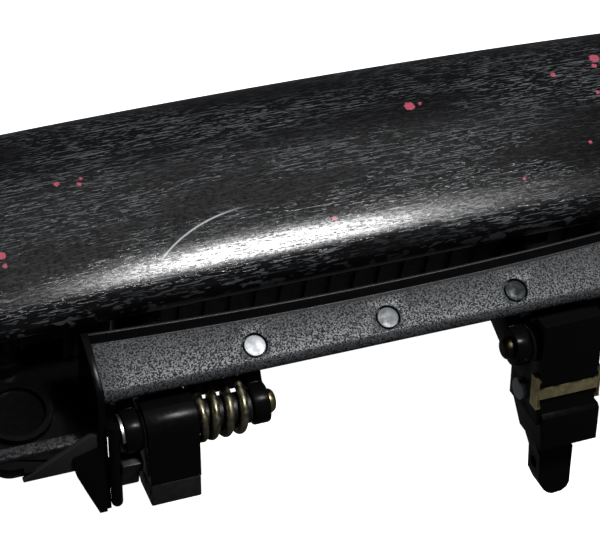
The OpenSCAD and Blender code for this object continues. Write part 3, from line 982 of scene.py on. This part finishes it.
class Hinge(Group):
    """The two pins and the torsion spring on the left one."""

    SIZE = HingeSize

    def _pins(self) -> None:
        """A bar with a domed inner end, and its twin."""
        size = self.size
        x0, x1 = size.pin_x
        pin = Part.round_bar("hinge_pin_right", (x0, 0, 0), (x1, 0, 0), size.pin_r, 48)
        pin.round_edges(size.dome, 6, lambda p: p.x < x0 + NEAR)
        pin.round_edges(0.4, 1, lambda p: p.x > x1 - NEAR)
        twin = pin.mirrored("hinge_pin_left")
        # The right pin gets the darker copy of the pin steel, painted shade; the left pin keeps the plain
        # steel.
        self.done(pin, self.shop.PAINTED_SHADE_PIN, Body.BASE, Slot.PIN, "right_hinge_pin")
        self.done(twin, self.shop.PIN, Body.BASE, Slot.PIN, "left_hinge_pin")

    def _path(self) -> List[Vector]:
        """The middle line of the spring wire, from the upper leg to the lower one."""
        size = self.size
        whole = size.turns * 360.0 + size.last_turn
        line = [Vector((size.first_x, y, z)) for y, z in size.upper_leg]
        for i in range(size.steps + 1):
            turned = whole * i / size.steps
            t = math.radians(90.0 + turned)
            x = size.first_x - size.pitch * min(size.turns, turned / 360.0)
            line.append(Vector((x, size.coil * math.cos(t), size.coil * math.sin(t) + size.sag)))
        end_x = size.first_x - size.pitch * size.turns
        return line + [Vector((end_x + dx, y, z)) for dx, y, z in size.lower_leg]

    def _spring(self) -> None:
        """A ring of the wire's size extruded step by step along the wire's line."""
        size = self.size
        path = [p * MM for p in self._path()]
        Part.clear()
        bpy.ops.mesh.primitive_circle_add(
            vertices=size.wire_sides, radius=size.wire * MM, fill_type="NGON"
        )
        spring = Part(bpy.context.object, "torsion_spring")
        before = (path[1] - path[0]).normalized()
        spring.obj.rotation_mode = "QUATERNION"
        spring.obj.location = path[0]
        spring.obj.rotation_quaternion = before.to_track_quat("Z", "Y")
        spring.apply()
        with spring.editing():
            for last, here, after in zip(path, path[1:], path[2:] + path[-1:]):
                ahead = (after - last).normalized()
                bpy.ops.mesh.extrude_region_move(TRANSFORM_OT_translate={"value": here - last})
                bend = before.rotation_difference(ahead)
                if bend.angle > LEAST_BEND:
                    mesh = bmesh.from_edit_mesh(spring.obj.data)
                    ring = [v for v in mesh.verts if v.select]
                    bmesh.ops.transform(mesh, matrix=about(here, bend.to_matrix().to_4x4()), verts=ring)
                    bmesh.update_edit_mesh(spring.obj.data)
                before = ahead
        self.done(
            spring.soften(0.15, 2, 60.0), self.shop.SPRING, Body.BASE, Slot.SPRING, "return_spring", 50.0
        )

    def make(self) -> None:
        """Makes the pins and the spring."""
        self._pins()
        self._spring()


# ---- levers


@dataclass
class LeverSize:
    """The arms, the counterweight and the release lever, in the leaned frame."""

    arm_r: float = 24.85
    bore: float = 4.0
    block_x: Span = (-60.8, -48.8)
    hub_r: float = 6.8
    hub_arc: Span = (5.0, 158.0)
    block_low: Tuple[Point2, ...] = ((-6.3, -12.0), (6.3, -12.0))
    leg: Point3 = (-52.4, 0.0, -9.5)
    leg_r: float = 1.25
    slug_x: Span = (-60.75, -48.85)
    slug: Tuple[Point2, ...] = ((6.3, -12.05), (-6.3, -12.05), (-6.3, -17.8), (-5.8, -18.35), (3.2, -18.4))
    heel_r: float = 9.3
    heel_arc: Span = (-58.0, -31.9)
    heel_at: Point2 = (-1.6, -10.5)
    lever_x: Span = (36.0, 51.5)
    lever: Tuple[Point2, ...] = (
        (-7.6, 9.6), (-3.6, 9.6), (-1.2, 6.8), (3.0, 6.2), (6.9, 2.0), (7.6, -6.0), (8.0, -11.0),
        (8.0, -20.0), (-6.9, -20.0), (-6.9, -8.2), (-7.6, -8.0),
    )
    box_x: Span = (37.2, 52.5)
    box: Tuple[Point2, ...] = (
        (-7.2, -17.0), (7.96, -17.0), (7.96, -22.0), (3.6, -27.4), (-8.0, -27.4), (-8.0, -17.9),
    )
    slot: Box = ((38.2, -4.0, -31.0), (48.7, 10.0, -9.6))
    cross: Point2 = (2.0, -14.8)
    cross_r: float = 2.8
    cross_x: Span = (34.7, 52.2)
    screw_x: Span = (-54.15, 44.0)
    screw_y: Span = (38.4, 45.0)
    screw_r: float = 1.85
    strap_x: float = 0.8
    strap_yz: Tuple[Point2, Point2] = ((-7.6, -11.8), (-6.9, -8.8))
    tab_x: float = 0.12
    tab_y: Span = (-7.6, -4.25)
    tab_thick: float = 0.6
    tab: Tuple[Point2, ...] = ((-0.02, -13.6), (-0.02, -10.0), (-0.02, -6.7))
    curl_r: float = 0.6
    curl_low: Point2 = (-0.6, -14.2)
    curl_high: Point2 = (-0.6, -6.1)

    def neck(self) -> List[Point2]:
        """Outline of the arm that passes under the strip."""
        return [
            (2.0, 5.6), (6.4, 4.6), (9.4, 2.6), (12.4, 0.2), (15.6, -2.6), (18.6, -4.9), (22.4, -5.9),
            *arc(self.arm_r, -13.2, 14.0, 8), (24.2, 5.9), (24.2, 9.5), (48.0, 9.5), (48.0, 5.5),
            (35.0, 5.5), *arc(33.2, 7.0, -14.0, 6), (30.2, -11.2), (26.0, -13.2), (18.0, -12.4),
            (10.0, -9.2), (2.0, -6.4),
        ]


class Levers(Group):
    """The two levers and what they carry."""

    SIZE = LeverSize

    def _add_neck(self, arm: Part, ends: Span, neck: Span, screw_x: float, *cuts: Part) -> None:
        """Adds an arm's neck, then cuts its bore, other cuts and screw holes; spans are along x."""
        size = self.size
        arm.weld(Part.prism("neck", size.neck(), *neck))
        arm.cut(Part.round_bar("bore", (ends[0] - 1, 0, 0), (ends[1] + 1, 0, 0), size.bore, 40), *cuts)
        for y in size.screw_y:
            arm.cut(Part.round_bar("hole", (screw_x, y, 0), (screw_x, y, 20), size.screw_r, 20))

    def _counterweight(self) -> None:
        """The left arm: a block on the pin, the neck behind it and the slug under it."""
        size = self.size
        x0, x1 = size.block_x
        outline = [*arc(size.hub_r, *size.hub_arc, 16), *size.block_low]
        arm = Part.prism("counterweight_lever", outline, x0, x1).lean()
        leg = Part.round_bar("leg", size.leg, (x1 + 1, *size.leg[1:]), size.leg_r, 20)
        self._add_neck(arm, size.block_x, (x0 + 1.0, x1 - 0.8), size.screw_x[0], leg)
        self.done(arm.soften(0.45, 3, 38.0), self.shop.GLOSS, Body.PADDLE, Slot.LEVER, "counterweight_arm")
        corner, *rest = size.slug
        heel = arc(size.heel_r, *size.heel_arc, 8, size.heel_at)
        slug = Part.prism("counterweight", [*rest, *heel, corner], *size.slug_x).lean()
        self.done(slug.soften(0.35, 3, 38.0), self.shop.SLUG, Body.PADDLE, Slot.SLUG, "counterweight_slug")

    def _release(self) -> None:
        """The right arm: a stepped box with a slot for the finger."""
        size = self.size
        x0, x1 = size.lever_x
        y, z = size.cross
        lever = Part.prism("release_lever", size.lever, x0, x1)
        lever.weld(Part.prism("box", size.box, *size.box_x))
        lever.cut(Part.block("slot", *size.slot))
        lever.cut(Part.round_bar("bore", (x0 - 1, y, z), (x1 + 1, y, z), size.cross_r, 32))
        lever.lean()
        self._add_neck(lever, size.lever_x, (x0 + 2.0, x1 - 1.5), size.screw_x[1])
        self.done(lever.soften(0.4, 3, 38.0), self.shop.GLOSS, Body.PADDLE, Slot.LEVER, "release_arm")

    def _cross_pin(self) -> None:
        """The steel pin that carries the finger, with chamfered ends."""
        size = self.size
        (x0, x1), (y, z) = size.cross_x, size.cross
        pin = Part.round_bar("finger_cross_pin", (x0, y, z), (x1, y, z), size.cross_r - 0.01, 40)
        pin.round_edges(0.5, 3, lambda p: p.x < x0 + NEAR or p.x > x1 - NEAR)
        pin.lean()
        self.done(pin, self.shop.STEEL, Body.PADDLE, Slot.STEEL, "cross_pin")

    def _strap(self) -> None:
        """A sheet strap across the lever's front with a curled tab at each side."""
        size = self.size
        x0, x1 = size.lever_x
        low, high = size.strap_yz
        strap = Part.block("lever_strap", (x0 - size.strap_x, *low), (x1 + size.strap_x, *high))
        low_curl = arc(size.curl_r, 55.0, -40.0, 4, size.curl_low)
        high_curl = arc(size.curl_r, 40.0, -55.0, 4, size.curl_high)
        path = [*low_curl, *size.tab, *high_curl]
        for x, side in ((x0 - size.tab_x, 1.0), (x1 + size.tab_x, -1.0)):
            outline = [(x + side * a, b) for a, b in ribbon(path, size.tab_thick)]
            strap.weld(Part.prism("tab", outline, *size.tab_y, Plane.XZ))
        self.done(strap.soften(0.12, 2, 40.0).lean(), self.shop.CLIP, Body.PADDLE, Slot.CLIP, "strap_clip")

    def make(self) -> None:
        """Makes both levers and their small parts."""
        self._counterweight()
        self._release()
        self._cross_pin()
        self._strap()


@dataclass
class FingerSize:
    """The release finger, in the leaned frame."""

    thick: Span = (-2.6, 3.6)
    outline: Tuple[Point2, ...] = (
        (38.5, -19.8), (48.2, -19.8), (48.2, -30.6), (49.3, -33.0), (49.3, -44.6), (48.7, -46.1),
        (47.3, -47.1), (44.6, -47.3), (43.2, -46.6), (42.0, -45.3), (40.4, -41.6), (40.2, -34.5),
        (38.5, -29.0),
    )
    root: float = -24.0
    hub_x: Span = (38.5, 44.8)
    hub_r: float = 4.7
    bore: float = 3.8
    rod: Bar = (0.5, -38.0, 1.6)


class Finger(Group):
    """The sprung finger that pulls the latch rod."""

    SIZE = FingerSize

    def make(self) -> None:
        """Makes the finger: a flat blade under a round hub."""
        size = self.size
        y, z = LeverSize().cross
        low, high = size.hub_x
        finger = Part.prism("release_finger_blade", size.outline, *size.thick, Plane.XZ)
        rod_y, rod_z, rod_r = size.rod
        finger.weld(
            Part.block("root", (low, size.thick[0], size.root), (high, size.thick[1], z)),
            Part.round_bar("hub", (low, y, z), (high, y, z), size.hub_r, 40),
        )
        finger.cut(
            Part.round_bar("bore", (low - 1, y, z), (high + 1, y, z), size.bore, 40),
            Part.round_bar("rod", (30, rod_y, rod_z), (60, rod_y, rod_z), rod_r, 24),
        )
        self.done(
            finger.soften(0.5, 3, 38.0).lean(), self.shop.GLOSS, Body.FINGER, Slot.LEVER, "release_finger"
        )


# ---- CAD pieces that stay


class PlainNodes:
    """The small CAD nodes that are shown as they are, with a material each."""

    def __init__(self, shop: MaterialShop, nodes: dict) -> None:
        """Keeps the materials and the CAD nodes."""
        self.shop = shop
        self.nodes = nodes

    def build(self) -> None:
        """Gives each node that is still shown its material."""
        shop = self.shop
        looks = (
            (shop.STEEL, ("reinforcement_bar", "pin_clips", "mounting_studs", "carrier_screws")),
            (shop.STEEL, ("arm_screws", "finger_spring")),
            (shop.BUSH, ("pin_spacer", "left_bush", "right_bush", "finger_bush")),
            (shop.RUBBER, ("base_gaskets", "bump_stops", "grip_pad")),
            # The black spring sleeve is a guide inside the coil and also fills the gaps between its turns
            # with dark: painted shade for the coil's shaded back.
            (shop.SATIN, ("spring_sleeve", "paddle_carrier")),
        )
        for finish, names in looks:
            for name in names:
                materials = self.nodes[name].data.materials
                materials.clear()
                materials.append(shop.get(finish))
        LOG.info("plain nodes done")


# ---- studio


@dataclass
class StudioSize:
    """Camera, lamps and floor, in metres and in the CAD frame."""

    camera: Tuple[float, float, float] = (-0.1459, -0.2456, 0.3776)
    forward: Tuple[float, float, float] = (0.2852, 0.5612, -0.7769)
    up: Tuple[float, float, float] = (0.1888, 0.7618, 0.6196)
    lens: float = 116.8
    floor: float = -0.05


class Studio:
    """A pale floor, soft lamps and the camera."""

    def __init__(self, size: Optional[StudioSize] = None) -> None:
        """Keeps the sizes."""
        self.size = size or StudioSize()

    def _floor(self) -> None:
        """A plain white ground, out of the object's reflections."""
        bpy.ops.object.select_all(action="DESELECT")
        bpy.ops.mesh.primitive_plane_add(size=6.0, location=(0, 0, self.size.floor))
        floor = bpy.context.object
        floor.name = "studio_floor"
        material = bpy.data.materials.new("studio white")
        material.use_nodes = True
        shader = material.node_tree.nodes["Principled BSDF"]
        shader.inputs["Base Color"].default_value = (0.9, 0.9, 0.9, 1)
        shader.inputs["Roughness"].default_value = 1.0
        shader.inputs["Emission Color"].default_value = (1, 1, 1, 1)
        shader.inputs["Emission Strength"].default_value = 1.0
        floor.data.materials.append(material)
        floor.visible_glossy = False
        floor.visible_diffuse = False

    def _lamp(self, name: str, place: Vector, aim: Vector, size: Tuple[float, float], power: float) -> None:
        """An area lamp that looks at a point."""
        bpy.ops.object.light_add(type="AREA", location=place)
        lamp = bpy.context.object
        lamp.name = name
        lamp.data.shape = "RECTANGLE"
        lamp.data.size, lamp.data.size_y = size
        lamp.data.energy = power
        lamp.rotation_mode = "QUATERNION"
        lamp.rotation_quaternion = (aim - place).to_track_quat("-Z", "Y")

    def _camera(self) -> None:
        """The camera."""
        size = self.size
        forward, up = Vector(size.forward).normalized(), Vector(size.up)
        right = forward.cross(up).normalized()
        up = right.cross(forward)
        bpy.ops.object.camera_add()
        camera = bpy.context.object
        camera.name = "main_camera"
        turn = Matrix((right, up, -forward)).transposed().to_4x4()
        camera.matrix_world = Matrix.Translation(Vector(size.camera)) @ turn
        camera.data.lens = size.lens
        camera.data.sensor_width = 36.0
        camera.data.clip_start, camera.data.clip_end = 0.01, 20.0
        bpy.context.scene.camera = camera

    def build(self) -> None:
        """Sets up the whole studio."""
        self._floor()
        middle = Vector((0.0, 0.02, 0.02))
        self._lamp("key_lamp", Vector((0.212, -0.150, 0.883)), middle, (0.15, 0.17), 3.3)
        self._lamp("core_lamp", Vector((0.208, -0.148, 0.866)), middle, (0.06, 0.14), 4.6)
        self._lamp("top_lamp", middle + Vector((0.05, 0.35, 0.9)), middle, (0.9, 0.7), 0.9)
        world = bpy.data.worlds.new("studio air")
        world.use_nodes = True
        world.node_tree.nodes["Background"].inputs["Color"].default_value = (0.8, 0.82, 0.85, 1)
        world.node_tree.nodes["Background"].inputs["Strength"].default_value = 0.08
        bpy.context.scene.world = world
        bpy.context.scene.view_settings.view_transform = "Standard"
        self._camera()
        LOG.info("studio done")


def main() -> None:
    """Builds the handle around the CAD frame, in order."""
    logging.basicConfig(level=logging.INFO, format="%(name)s: %(message)s")
    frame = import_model()
    shop = MaterialShop()
    for group in (Paddle, BezelStrip, Housing, Hinge, Levers, Finger):
        group(shop).build()
    PlainNodes(shop, frame["nodes"]).build()
    Studio().build()


if __name__ == "__main__":
    main()
